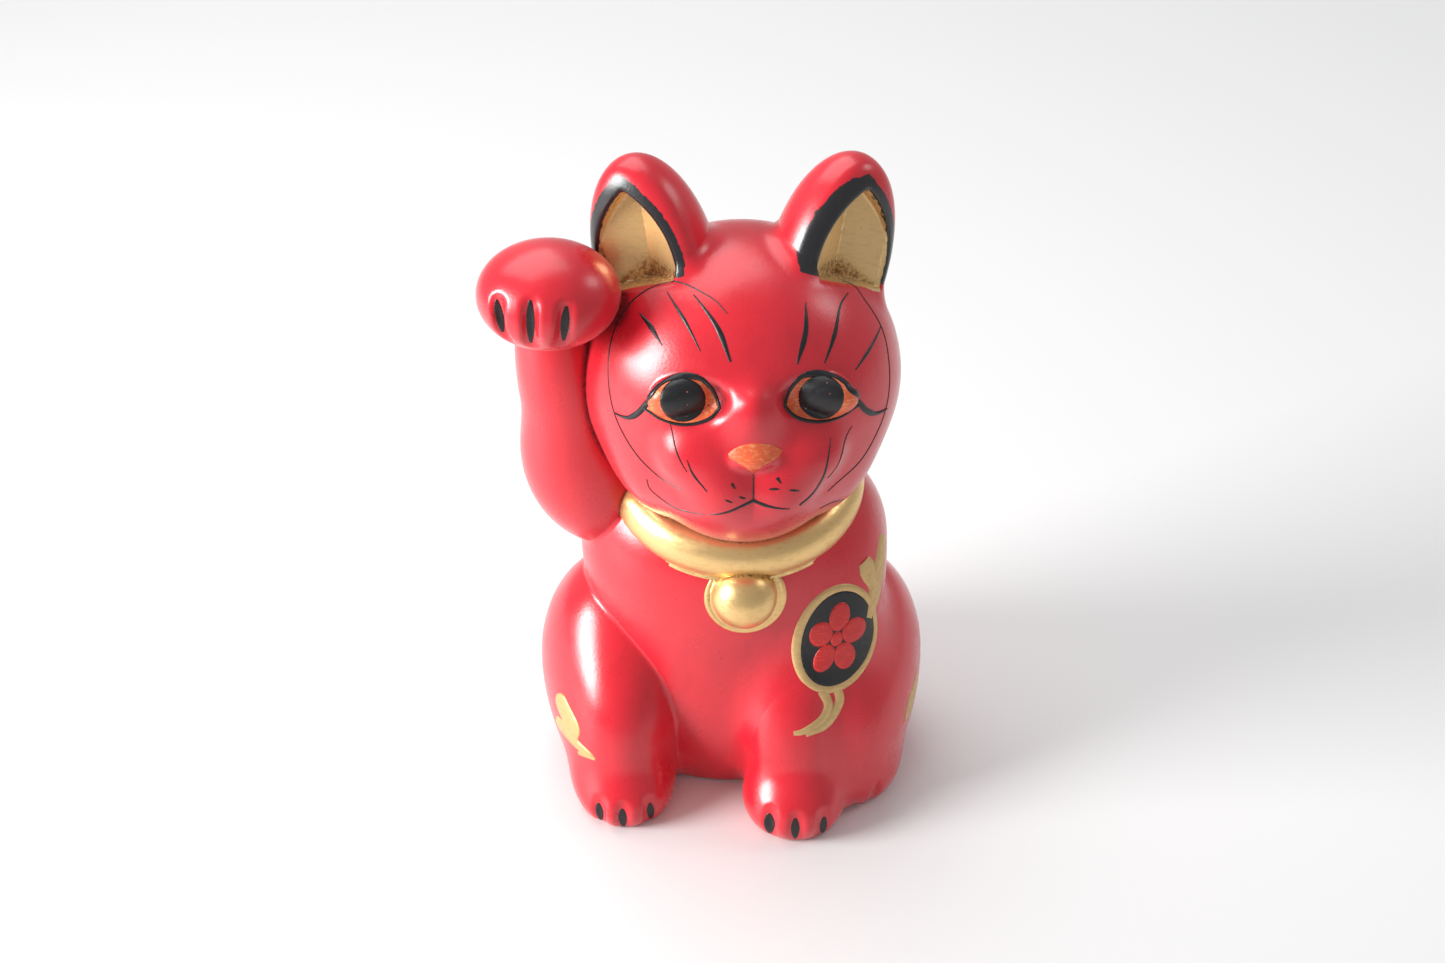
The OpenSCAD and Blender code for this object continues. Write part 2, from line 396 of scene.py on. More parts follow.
def collar(p):
    """A band lying on the chest under the head, with a thin ledge along its lower edge."""
    q = (p - COLLAR_AT) @ turned(COLLAR_TILT, 0, 0)
    out, h = np.hypot(q[:, 0], q[:, 1]) - COLLAR_R, q[:, 2]
    section = np.stack([out, h, np.zeros_like(h)], axis=-1)
    band = egg(section, (-2.2, 1.0, 0), (5.6, 6.4, 50))
    ledge = egg(section, (-0.6, -3.9, 0), (3.1, 1.2, 50))
    return join(band, ledge, 0.4)


BELL_AT = np.array([0.9, -28.6, 66.0])


def bell(p):
    """A dished plate with a thin rim and a dome, standing on the chest under the collar."""
    q = (p - BELL_AT) @ turned(80, 0, 0)
    r = np.hypot(q[:, 0], q[:, 1])
    plate = egg(q, (0, 0, -0.6), (10.2, 10.2, 3.0))
    rim = np.hypot(r - 9.4, q[:, 2] - 0.3) - 0.75
    dome = egg(q, (-0.4, 0.8, 1.8), (8.1, 8.1, 7.6))
    return join(join(plate, rim, 0.6), dome, 0.4)


def stopper(p):
    """A rubber plug: a flange with a finger bar in its hollow, and a plug with two sealing rings."""
    r = np.hypot(p[:, 0], p[:, 1])
    z = p[:, 2]
    flange = common(r - 13.9, np.abs(z - 1.8) - 1.0, 0.8)
    plug = common(r - 11.4, np.abs(z - 6.0) - 3.7, 1.0)
    rings = np.minimum(np.hypot(r - 11.2, z - 4.6), np.hypot(r - 11.2, z - 7.4)) - 0.7
    d = join(join(flange, plug, 0.8), rings, 0.5)
    d = cut(d, egg(p, (0, 0, 0.6), (8.5, 8.5, 3.2)), 0.8)
    bar = common(block(p, (-7.5, -1.3, 1.0), (7.5, 1.3, 5.0)), r - 12, 0.6)
    return join(d, bar, 1.0)


# --------------------------------------------------------------------------------------------------
# Meshing
# --------------------------------------------------------------------------------------------------


def slopes(field, p, reach=0.12):
    """The field's gradient at each point, from four samples around it."""
    corners = np.array([(1, -1, -1), (-1, -1, 1), (-1, 1, -1), (1, 1, 1)], float)
    return sum(c * field(p + c * reach)[:, None] for c in corners) / (4 * reach)


def unit(v):
    return v / np.maximum(np.linalg.norm(v, axis=-1, keepdims=True), 1e-9)


def settle(field, p, longest, rounds=4):
    """Points moved onto the field's zero surface, each step no longer than that."""
    for _ in range(rounds):
        g = slopes(field, p)
        move = field(p) / np.maximum((g * g).sum(axis=-1), 0.2)
        p = p - np.clip(move, -longest, longest)[:, None] * g
    return p


def sampled(field, low, high, cell):
    """The field on a grid, worked out only near its surface."""
    side = 4 * cell
    low = np.array(low, float)
    blocks = np.ceil((np.array(high, float) - low) / side).astype(int)
    index = np.stack(np.meshgrid(*(np.arange(n) for n in blocks), indexing="ij"), axis=-1).reshape(-1, 3)
    middle = field(low + (index + 0.5) * side - cell / 2)
    far = 4.5 * side
    grid = np.repeat(middle.reshape(blocks), 4, 0).repeat(4, 1).repeat(4, 2)
    near = index[np.abs(middle) < 1.5 * side]
    inside = np.stack(np.meshgrid(*(np.arange(4),) * 3, indexing="ij"), axis=-1).reshape(-1, 3)
    for start in range(0, len(near), 4000):
        cells = (near[start:start + 4000, None] * 4 + inside).reshape(-1, 3)
        grid[tuple(cells.T)] = field(low + cells * cell)
    return np.clip(grid, -far, far)


def surface_of(field, low, high, cell):
    """Vertices and four-sided faces of a field's zero surface inside a box."""
    grid = openvdb.FloatGrid(background=50.0)
    grid.copyFromArray(sampled(field, low, high, cell).astype("f4"))
    points, quads = grid.convertToQuads(0.0)
    points = np.array(low, float) + points.astype(float) * cell
    return settle(field, points, cell * 0.4), quads.astype(int)


def new_piece(name, points, faces, body, normals=None, extra=None):
    """A mesh object in the frame from points in millimetres, riding on a body."""
    mesh = bpy.data.meshes.new(name)
    mesh.from_pydata(to_frame(points).tolist(), [], [list(map(int, f)) for f in faces])
    for key, values in (extra or {}).items():
        mesh.attributes.new(key, "FLOAT", "POINT").data.foreach_set("value", values.astype("f4"))
    for polygon in mesh.polygons:
        polygon.use_smooth = True
    if normals is not None:
        mesh.normals_split_custom_set_from_vertices(normals.tolist())
    piece = bpy.data.objects.new(name, mesh)
    bpy.context.scene.collection.objects.link(piece)
    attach(piece, body)
    return piece


def plain_forms(p):
    """Distance to the nearest of the cat's forms, without the fillets between them."""
    q, f = both(p), both(p - np.array([FACE_X, 0, 0]))
    eggs = [egg(p, TRUNK_AT, TRUNK_R), egg(p, CHEST_AT, CHEST_R), egg(q, HAUNCH_AT, HAUNCH_R),
            egg(q, KNEE_AT, KNEE_R), egg(p, UPPER_LEG_AT, UPPER_LEG_R, UPPER_LEG_TURN),
            egg(p, SHIN_AT, SHIN_R, SHIN_TURN), egg(p, HEAD_AT, HEAD_R), egg(q, CHEEK_AT, CHEEK_R),
            egg(p, MUZZLE_AT, MUZZLE_R), egg(p, CHIN_AT, CHIN_R), egg(p, ELBOW_AT, ELBOW_R, ELBOW_TURN),
            egg(p, FOREARM_AT, FOREARM_R, FOREARM_TURN), egg(f, *NOSE),
            ears(p), right_hind_paw(p), left_hind_paw(p), tail(p), collar(p), bell(p),
            paw_with_toes(p, FOREPAW_AT, FOREPAW_R, FOREPAW_GROOVES),
            paw_with_toes(p, PAW_AT, PAW_R, RAISED_GROOVES)]
    return np.minimum.reduce(eggs)


def crowding(points, normals):
    """From 0 in the open to 1 in a tight hollow: how much of the space just outside is filled, by which the
    coats paint shade in their hollows.
    """
    near = 1 - plain_forms(points + normals * 1.5) / 1.5
    wide = 1 - plain_forms(points + normals * 4.0) / 4.0
    return np.clip(0.5 * near + 0.5 * wide, 0, 1)


def cast_piece(name, field, low, high, cell, material, marks=None, body=CAT):
    """A closed piece meshed from its field, with its crowding among the other forms around it."""
    points, quads = surface_of(field, low, high, cell)
    normals = unit(slopes(field, points))
    extra = {"crowding": crowding(points, normals)}
    extra.update(marks(points) if marks else {})
    piece = new_piece(name, points, quads, body, normals, extra)
    piece.data.materials.append(material)
    return piece


# --------------------------------------------------------------------------------------------------
# Materials
# --------------------------------------------------------------------------------------------------


class Paint:
    """A material's node tree with short words for the nodes that the finishes share."""

    def __init__(self, name, roughness, **settings):
        self.material = bpy.data.materials.new(name)
        self.material.use_nodes = True
        self.tree = self.material.node_tree
        self.shader = self.tree.nodes["Principled BSDF"]
        self.shader.inputs["Roughness"].default_value = roughness
        for key, value in settings.items():
            self.shader.inputs[key.replace("_", " ")].default_value = value
        self.place = self.tree.nodes.new("ShaderNodeTexCoord").outputs["Object"]

    def wire(self, node, socket, value):
        """Sets an input to a value, or links it to another node's output."""
        if isinstance(value, bpy.types.NodeSocket):
            self.tree.links.new(value, node.inputs[socket])
        else:
            node.inputs[socket].default_value = value

    def noise(self, size, detail=3.0, stretch=(1, 1, 1), warp=0.0):
        """Cloudy noise whose features are that many millimetres across."""
        mapping = self.tree.nodes.new("ShaderNodeMapping")
        mapping.inputs["Scale"].default_value = stretch
        self.tree.links.new(self.place, mapping.inputs["Vector"])
        node = self.tree.nodes.new("ShaderNodeTexNoise")
        node.inputs["Scale"].default_value = 1000.0 / size
        node.inputs["Detail"].default_value = detail
        node.inputs["Distortion"].default_value = warp
        self.tree.links.new(mapping.outputs["Vector"], node.inputs["Vector"])
        return node.outputs["Fac"]

    def dots(self, spacing, size):
        """1 in small round dots about that far apart, in millimetres, and 0 elsewhere."""
        node = self.tree.nodes.new("ShaderNodeTexVoronoi")
        node.inputs["Scale"].default_value = 1000.0 / spacing
        self.tree.links.new(self.place, node.inputs["Vector"])
        return self.ramp(node.outputs["Distance"], size / spacing, size / spacing * 0.55)

    def mark(self, name):
        """A number stored at the piece's vertices."""
        node = self.tree.nodes.new("ShaderNodeAttribute")
        node.attribute_name = name
        return node.outputs["Fac"]

    def ramp(self, value, start, end, low=0.0, high=1.0):
        """Smooth step of a value from low at start to high at end."""
        node = self.tree.nodes.new("ShaderNodeMapRange")
        node.interpolation_type = "SMOOTHSTEP"
        if start > end:
            start, end, low, high = end, start, high, low
        self.wire(node, "Value", value)
        for key, number in zip(("From Min", "From Max", "To Min", "To Max"), (start, end, low, high)):
            node.inputs[key].default_value = number
        return node.outputs["Result"]

    def sums(self, operation, a, b):
        node = self.tree.nodes.new("ShaderNodeMath")
        node.operation = operation
        self.wire(node, 0, a)
        self.wire(node, 1, b)
        return node.outputs["Value"]

    def mix(self, amount, a, b):
        """Colour a with that amount of colour b over it."""
        node = self.tree.nodes.new("ShaderNodeMix")
        node.data_type = "RGBA"
        self.wire(node, 0, amount)
        for socket, value in ((6, a), (7, b)):
            self.wire(node, socket, value if isinstance(value, bpy.types.NodeSocket) else (*value, 1))
        return node.outputs[2]

    def bump(self, height, depth, strength=1.0, under=None):
        """A bump of that depth in millimetres, over an earlier bump."""
        node = self.tree.nodes.new("ShaderNodeBump")
        node.inputs["Strength"].default_value = strength
        node.inputs["Distance"].default_value = depth * MM
        self.tree.links.new(height, node.inputs["Height"])
        if under:
            self.tree.links.new(under, node.inputs["Normal"])
        return node.outputs["Normal"]

    def finish(self, colour=None, roughness=None, normal=None, metallic=None):
        for key, value in (("Base Color", colour), ("Roughness", roughness), ("Normal", normal),
                           ("Metallic", metallic)):
            if value is not None:
                self.wire(self.shader, key, value)
        return self.material


RED = (0.66, 0.010, 0.024)
RED_DEEP = (0.30, 0.003, 0.010)
RED_PALE = (0.78, 0.018, 0.038)
GOLD = (0.86, 0.58, 0.25)
GOLD_BROWN = (0.34, 0.18, 0.06)
BLACK = (0.010, 0.010, 0.012)
ORANGE = (0.82, 0.13, 0.045)
ORANGE_PALE = (0.90, 0.34, 0.13)
CLAY = (0.76, 0.72, 0.66)
CLAY_GRIT = (0.58, 0.50, 0.42)
RIM_WORN = (0.12, 0.03, 0.02)
LINE_WORN = (0.20, 0.02, 0.015)
CHIP = (0.45, 0.14, 0.06)
BRUSHED_GOLD = (0.66, 0.44, 0.19)
BRUSHED_BROWN = (0.42, 0.26, 0.10)
CRIMSON = (0.62, 0.02, 0.02)
CRIMSON_PALE = (0.8, 0.05, 0.03)
RUBBER = (0.78, 0.76, 0.72)
DUST = (0.62, 0.58, 0.52)
RED_FINISH = {"Coat_Weight": 0.45, "Coat_Roughness": 0.24, "Sheen_Weight": 0.10, "Sheen_Roughness": 0.4}


def red_layers(paint):
    """The red coat's colour, with painted shade in its hollows, its roughness and bump, and the bare clay
    where it is missing.
    """
    clouds = paint.ramp(paint.noise(26, 2), 0.35, 0.7)
    colour = paint.mix(paint.sums("MULTIPLY", clouds, 0.30), RED, RED_PALE)
    streaks = paint.ramp(paint.noise(5, 4, (1, 1, 0.35)), 0.45, 0.75, 0, 0.16)
    colour = paint.mix(streaks, colour, RED_DEEP)
    crowd = paint.mark("crowding")
    # Painted shade: the red darkens towards deep red in the hollows, as far as the space outside is crowded.
    colour = paint.mix(paint.ramp(crowd, 0.30, 0.95, 0, 0.75), colour, RED_DEEP)
    # Grime specks and painted shade: black specks laid only in the tightest hollows, where shade is deepest.
    specks = paint.ramp(paint.noise(1.2, 4), 0.45, 0.62)
    grime_and_shade = paint.sums("MULTIPLY", paint.ramp(crowd, 0.60, 1.0), specks)
    colour = paint.mix(paint.sums("MULTIPLY", grime_and_shade, 0.5), colour, BLACK)
    roughness = paint.ramp(paint.noise(9, 3), 0.3, 0.7, 0.26, 0.36)
    peel = paint.bump(paint.noise(0.7, 2), 0.05, 0.8)
    brush = paint.bump(paint.noise(3.0, 3, (1, 1, 0.4)), 0.10, 0.25, peel)
    bare = paint.mark("bare")
    grit = paint.ramp(paint.noise(5, 4), 0.35, 0.7)
    colour = paint.mix(bare, colour, paint.mix(grit, CLAY, CLAY_GRIT))
    roughness = paint.sums("ADD", roughness, paint.sums("MULTIPLY", bare, 0.5))
    return colour, roughness, brush


def gold_layers(paint):
    """Bronze paint: brushed, with brown specks of painted shade in the hollows, and dark specks."""
    strokes = paint.noise(2.2, 5, (1, 1, 3), 0.3)
    colour = paint.mix(paint.ramp(strokes, 0.45, 0.80, 0, 0.22), GOLD, GOLD_BROWN)
    crowd = paint.mark("crowding")
    # Painted shade: the gold turns brown in the hollows, broken into specks.
    hollow_shade = paint.sums("MULTIPLY", paint.ramp(crowd, 0.35, 0.9), paint.ramp(paint.noise(0.9, 4), 0.42, 0.60))
    colour = paint.mix(paint.sums("MULTIPLY", hollow_shade, 0.85), colour, GOLD_BROWN)
    colour = paint.mix(paint.sums("MULTIPLY", paint.dots(3.2, 0.16), 0.7), colour, BLACK)
    roughness = paint.ramp(strokes, 0.35, 0.7, 0.30, 0.42)
    normal = paint.bump(paint.noise(0.8, 3), 0.06, 0.5)
    normal = paint.bump(strokes, 0.12, 0.35, normal)
    return colour, roughness, normal


def make_red():
    paint = Paint("red_glaze", 0.32, **RED_FINISH)
    return paint.finish(*red_layers(paint))


def make_head_red():
    """The red coat, with the ears' gold hollows and black rims painted over it."""
    paint = Paint("red_glaze_head", 0.32, **RED_FINISH)
    colour, roughness, normal = red_layers(paint)
    gold, gold_rough, gold_normal = gold_layers(paint)
    wobble = paint.ramp(paint.noise(1.6, 3), 0.2, 0.8, -0.22, 0.22)
    in_gold = paint.ramp(paint.sums("ADD", paint.mark("gold_edge"), wobble), 0.10, -0.10)
    in_black = paint.ramp(paint.sums("ADD", paint.mark("black_edge"), wobble), 0.10, -0.10)
    colour = paint.mix(in_gold, colour, gold)
    rubbed = paint.ramp(paint.noise(1.1, 5), 0.62, 0.72, 0, 0.35)
    colour = paint.mix(in_black, colour, paint.mix(rubbed, BLACK, RIM_WORN))
    metal = paint.sums("MULTIPLY", in_gold, paint.sums("SUBTRACT", 1.0, in_black))
    return paint.finish(colour, roughness, normal, paint.sums("MULTIPLY", metal, 0.45))


def make_gold():
    paint = Paint("gold_glaze", 0.40, Metallic=0.80)
    return paint.finish(*gold_layers(paint))


def make_flat_gold():
    """Gold paint laid on by brush in one coat, flatter than the collar's."""
    paint = Paint("gold_brushed", 0.45, Metallic=0.45)
    strokes = paint.noise(1.6, 5, (1, 1, 2), 0.5)
    colour = paint.mix(paint.ramp(strokes, 0.42, 0.70, 0, 0.30), BRUSHED_GOLD, BRUSHED_BROWN)
    rough = paint.ramp(strokes, 0.3, 0.7, 0.38, 0.52)
    return paint.finish(colour, rough, paint.bump(strokes, 0.08, 0.5))


def make_black():
    """Black brush paint, a little glossy, rubbed brown in small spots."""
    paint = Paint("black_brushed", 0.32)
    rubbed = paint.ramp(paint.noise(0.7, 4), 0.64, 0.74, 0, 0.45)
    colour = paint.mix(rubbed, BLACK, LINE_WORN)
    return paint.finish(colour, paint.ramp(paint.noise(1.5, 2), 0.3, 0.7, 0.26, 0.42),
                        paint.bump(paint.noise(0.6, 3), 0.04, 0.5))


def make_pupil():
    """Glossy black with a few pale orange chips."""
    paint = Paint("pupil_black", 0.36)
    chips = paint.sums("MULTIPLY", paint.dots(1.5, 0.26), paint.ramp(paint.noise(4.0, 1), 0.50, 0.60))
    colour = paint.mix(chips, BLACK, CHIP)
    return paint.finish(colour, paint.ramp(paint.noise(1.5, 2), 0.3, 0.7, 0.32, 0.48),
                        paint.bump(paint.noise(0.7, 3), 0.05, 0.5))


def make_orange(name, warm, pale):
    """Orange brush paint with streaks of a paler orange."""
    paint = Paint(name, 0.34)
    streaks = paint.ramp(paint.noise(1.4, 4, (1, 1, 2.5), 0.4), 0.48, 0.70)
    colour = paint.mix(paint.sums("MULTIPLY", streaks, 0.8), warm, pale)
    return paint.finish(colour, paint.ramp(streaks, 0, 1, 0.30, 0.42), paint.bump(streaks, 0.05, 0.5))


def make_rubber():
    """Slightly translucent white rubber, dusty in patches."""
    paint = Paint("stopper_rubber", 0.55, Subsurface_Weight=0.15)
    dust = paint.ramp(paint.noise(4, 4), 0.45, 0.7, 0, 0.5)
    colour = paint.mix(dust, RUBBER, DUST)
    return paint.finish(colour, paint.ramp(paint.noise(2, 2), 0.3, 0.7, 0.48, 0.66),
                        paint.bump(paint.noise(0.7, 2), 0.04, 0.5))


# --------------------------------------------------------------------------------------------------
# Brush paint: films over areas, and strokes that follow paths
# --------------------------------------------------------------------------------------------------

BRUSH_FROM = np.array(directions(-4, 36)[0])    # the slanting direction along which marks are placed


def skull(p):
    """The head's plain forms, on which the places of painted marks are given."""
    q = both(p)
    d = join(egg(p, HEAD_AT, HEAD_R), egg(q, CHEEK_AT, CHEEK_R), 8)
    d = join(d, egg(p, MUZZLE_AT, MUZZLE_R), 8)
    return join(d, egg(p, CHIN_AT, CHIN_R), 6)


def cast_down(field, points, direction, start=14.0):
    """Each point slid along a direction, from well outside, to where it first meets the field."""
    p = points + direction * start
    for _ in range(60):
        p = p - direction * (field(p) * 0.9)[:, None]
    return p


def on_face(pairs):
    """Points on the face from (sideways, height) pairs on its plain form."""
    pairs = np.array(pairs, float)
    front = np.stack([pairs[:, 0], np.full(len(pairs), -48.0), pairs[:, 1]], axis=-1)
    plain = cast_down(skull, front, np.array([0.0, -1.0, 0.0]), 0.0)
    return cast_down(face, plain, BRUSH_FROM)


def bowed(points, spacing=0.5):
    """A smooth path through the points, at even spacing, with each point's share of the way along."""
    points = np.array(points, float)
    padded = np.concatenate([[2 * points[0] - points[1]], points, [2 * points[-1] - points[-2]]])
    path = []
    for a, b, c, d in zip(padded, padded[1:], padded[2:], padded[3:]):
        t = np.linspace(0, 1, 24, endpoint=False)[:, None]
        path.append(0.5 * (2 * b + (c - a) * t + (2 * a - 5 * b + 4 * c - d) * t ** 2
                           + (3 * b - a - 3 * c + d) * t ** 3))
    path = np.concatenate(path + [points[-1:]])
    along = np.concatenate([[0], np.cumsum(np.linalg.norm(np.diff(path, axis=0), axis=1))])
    even = np.linspace(0, along[-1], max(4, int(along[-1] / spacing) + 1))
    evened = [np.interp(even, along, path[:, k]) for k in range(path.shape[1])]
    return np.stack(evened, axis=-1), even / along[-1]


def outline(*arcs, spacing=0.5):
    """A closed outline made of smooth arcs that meet at corners."""
    return np.concatenate([bowed(arc, spacing)[0][:-1] for arc in arcs])


def oval(centre, across, along, turn=0.0, count=40):
    """An oval of (sideways, height) pairs, turned by that many degrees."""
    t = np.linspace(0, 2 * math.pi, count, endpoint=False)
    x, y = across * np.cos(t), along * np.sin(t)
    c, s = math.cos(math.radians(turn)), math.sin(math.radians(turn))
    return np.stack([centre[0] + c * x - s * y, centre[1] + s * x + c * y], axis=-1)


def inside_loop(points, loop):
    """Which flat points lie inside a closed loop."""
    after = np.roll(loop, -1, axis=0)
    x, y = points[:, 0, None], points[:, 1, None]
    crosses = (loop[:, 1] > y) != (after[:, 1] > y)
    slope = (after[:, 0] - loop[:, 0]) / np.where(after[:, 1] == loop[:, 1], 1e-9, after[:, 1] - loop[:, 1])
    return (crosses & (x < loop[:, 0] + (y - loop[:, 1]) * slope)).sum(axis=1) % 2 == 1


def edge_gaps(points, loop):
    """Distance from each flat point to the nearest point of a loop."""
    return np.linalg.norm(points[:, None] - loop[None], axis=-1).min(axis=1)


def filled(loop, step):
    """Flat points and triangles that fill a loop, about a step apart."""
    low, high = loop.min(axis=0), loop.max(axis=0)
    grid = np.meshgrid(np.arange(low[0], high[0], step), np.arange(low[1], high[1], step * 0.87))
    rows = np.stack(grid, axis=-1)
    rows[1::2, :, 0] += step / 2
    dots = rows.reshape(-1, 2)
    dots = dots[inside_loop(dots, loop) & (edge_gaps(dots, loop) > step * 0.55)]
    flat = [Vector(v) for v in np.concatenate([loop, dots])]
    ring = [(i, (i + 1) % len(loop)) for i in range(len(loop))]
    points, _, faces, *_ = geometry.delaunay_2d_cdt(flat, ring, [], 1, 1e-5)
    points = np.array([tuple(v) for v in points])
    faces = np.array([f for f in faces if len(f) == 3])
    a, b, c = (points[faces[:, k]] for k in range(3))
    wrong = (b - a)[:, 0] * (c - a)[:, 1] - (b - a)[:, 1] * (c - a)[:, 0] < 0
    faces[wrong] = faces[wrong][:, ::-1]
    return points, faces


def edge_walls(faces, count):
    """Faces that close the gap between a sheet's open edges and those of its copy, count points on."""
    edges = dict.fromkeys((a, b) for face in faces.tolist() for a, b in zip(face, face[1:] + face[:1]))
    return [(b, a, a + count, b + count) for a, b in edges if (b, a) not in edges]


def film(field, edge, lift=0.14, step=0.6, sink=0.5):
    """Points and faces of a thin closed coat on a field, inside an edge of points near it."""
    centre = edge.mean(axis=0)
    out = unit(slopes(field, cast_down(field, edge, unit(slopes(field, edge)), 0.0)).mean(axis=0)[None])[0]
    side = unit(np.cross([0.0, 0.0, 1.0], out)[None])[0]
    up = np.cross(out, side)
    loop = np.stack([(edge - centre) @ side, (edge - centre) @ up], axis=-1)
    points, faces = filled(loop, step)
    base = cast_down(field, centre + points[:, :1] * side + points[:, 1:] * up, out, 8.0)
    normal = unit(slopes(field, base, 0.3))
    height = lift * (0.45 + 0.55 * np.clip(edge_gaps(points, loop) / 0.5, 0, 1))
    solid = np.concatenate([base + normal * height[:, None], base - normal * sink])
    count = len(points)
    return solid, faces.tolist() + (faces[:, ::-1] + count).tolist() + edge_walls(faces, count)


def paint_piece(name, films, material):
    """One piece made of several films."""
    points, faces, start = [], [], 0
    for solid, sides in films:
        points.append(solid)
        faces += [tuple(int(i) + start for i in f) for f in sides]
        start += len(solid)
    piece = new_piece(name, np.concatenate(points), faces, CAT,
                      extra={"crowding": np.zeros(start)})
    piece.data.materials.append(material)
    return piece


STROKE_INPUTS = {"Paths": "Geometry", "Surface": "Object", "Relief": "Float", "Sink": "Float",
                 "Profile Points": "Int", "Paint": "Material"}


def add_node(tree, kind, inputs=None, **settings):
    """A node with its settings, each input set to a value or linked to another node's output."""
    node = tree.nodes.new(kind)
    for key, value in settings.items():
        setattr(node, key, value)
    for socket, value in (inputs or {}).items():
        if isinstance(value, bpy.types.NodeSocket):
            tree.links.new(value, node.inputs[socket])
        else:
            node.inputs[socket].default_value = value
    return node


def stored(tree, name, kind):
    """What is stored under that name at the points."""
    node = add_node(tree, "GeometryNodeInputNamedAttribute", {"Name": name}, data_type=kind)
    return node.outputs["Attribute"]


def stroke_profile(tree, count):
    """A nearly flat round profile whose points keep how high they stand in it, from -1 to 1."""
    circle = add_node(tree, "GeometryNodeCurvePrimitiveCircle", {"Radius": 1.0, "Resolution": count})
    place = add_node(tree, "GeometryNodeInputPosition")
    parts = add_node(tree, "ShaderNodeSeparateXYZ", {"Vector": place.outputs["Position"]})
    kept = add_node(tree, "GeometryNodeStoreNamedAttribute",
                    {"Name": "height_share", "Geometry": circle.outputs["Curve"],
                     "Value": parts.outputs["X"]}, data_type="FLOAT", domain="POINT")
    flat = add_node(tree, "GeometryNodeTransform",
                    {"Scale": (0.05, 1.0, 1.0), "Geometry": kept.outputs["Geometry"]})
    return flat.outputs["Geometry"]


def swept_paths(tree, paths, count):
    """The paths as closed ribbons, standing off the surface along path_out and half_width to each side."""
    curves = add_node(tree, "GeometryNodeMeshToCurve", {"Mesh": paths})
    upright = add_node(tree, "GeometryNodeSetCurveNormal",
                       {"Curve": curves.outputs["Curve"],
                        "Normal": stored(tree, "path_out", "FLOAT_VECTOR")}, mode="FREE")
    swept = add_node(tree, "GeometryNodeCurveToMesh",
                     {"Fill Caps": True, "Curve": upright.outputs["Curve"],
                      "Scale": stored(tree, "half_width", "FLOAT"),
                      "Profile Curve": stroke_profile(tree, count)})
    return swept.outputs["Mesh"]


def pressed_on(tree, ribbons, surface, relief, sink):
    """Ribbons laid on a surface: their upper side stands out by relief, their lower side lies in by sink."""
    target = add_node(tree, "GeometryNodeObjectInfo", {"Object": surface}, transform_space="ORIGINAL")
    nearest = add_node(tree, "GeometryNodeProximity", {0: target.outputs["Geometry"]},
                       target_element="FACES")
    normal = add_node(tree, "GeometryNodeInputNormal")
    facing = add_node(tree, "GeometryNodeSampleNearestSurface",
                      {0: target.outputs["Geometry"], "Value": normal.outputs["Normal"]},
                      data_type="FLOAT_VECTOR")
    lowest = add_node(tree, "ShaderNodeMath", {0: sink, 1: -1.0}, operation="MULTIPLY")
    raised = add_node(tree, "ShaderNodeMapRange",
                      {"Value": stored(tree, "height_share", "FLOAT"), "From Min": -0.05, "From Max": 0.9,
                       "To Min": lowest.outputs["Value"], "To Max": relief})
    lifted = add_node(tree, "ShaderNodeVectorMath",
                      {"Vector": facing.outputs["Value"], "Scale": raised.outputs["Result"]},
                      operation="SCALE")
    spot = add_node(tree, "ShaderNodeVectorMath",
                    {0: nearest.outputs["Position"], 1: lifted.outputs["Vector"]}, operation="ADD")
    pressed = add_node(tree, "GeometryNodeSetPosition",
                       {"Geometry": ribbons, "Position": spot.outputs["Vector"]})
    return pressed.outputs["Geometry"]


def stroke_tree():
    """Geometry Nodes: a brush stroke along each path, pressed onto a surface."""
    tree = bpy.data.node_groups.new("brush_stroke", "GeometryNodeTree")
    for name, kind in STROKE_INPUTS.items():
        tree.interface.new_socket(name, in_out="INPUT", socket_type="NodeSocket" + kind)
    tree.interface.new_socket("Strokes", in_out="OUTPUT", socket_type="NodeSocketGeometry")
    start = add_node(tree, "NodeGroupInput").outputs
    ribbons = swept_paths(tree, start["Paths"], start["Profile Points"])
    laid_on = pressed_on(tree, ribbons, start["Surface"], start["Relief"], start["Sink"])
    solid = add_node(tree, "GeometryNodeRealizeInstances", {"Geometry": laid_on})
    coated = add_node(tree, "GeometryNodeSetMaterial",
                      {"Geometry": solid.outputs["Geometry"], "Material": start["Paint"]})
    add_node(tree, "NodeGroupOutput", {"Strokes": coated.outputs["Geometry"]})
    return tree


